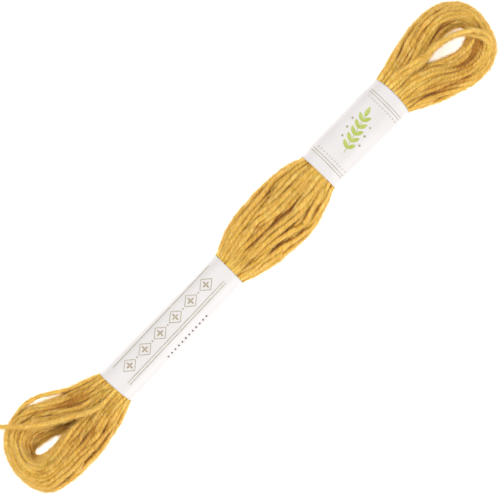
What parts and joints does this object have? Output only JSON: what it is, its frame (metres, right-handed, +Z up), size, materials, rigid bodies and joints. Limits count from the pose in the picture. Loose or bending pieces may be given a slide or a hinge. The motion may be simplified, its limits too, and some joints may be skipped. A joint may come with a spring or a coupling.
{
  "type": "hank of tapestry wool",
  "caption": "Long ring of fine two-ply wool yarn drawn into one bundle by two paper bands, with an open loop at each end and a loose yarn end, lying flat.",
  "frame": {"origin": "on the surface the hank lies on, below the middle of its bounding box", "axes": "+X along the hank towards the end with the short band, +Y across it towards the side the loose end lies on, +Z up"},
  "size_m": [0.1638, 0.0284, 0.0104],
  "materials": {
    "yarn": "soft matt two-ply wool, golden mustard, slightly hairy",
    "paper": "smooth uncoated white paper with fine gold, grey and green printing"
  },
  "bodies": {
    "root": {"yarn_ring": "yarn", "yarn_tail": "yarn", "band_long": "paper", "band_short": "paper"}
  },
  "joints": []
}
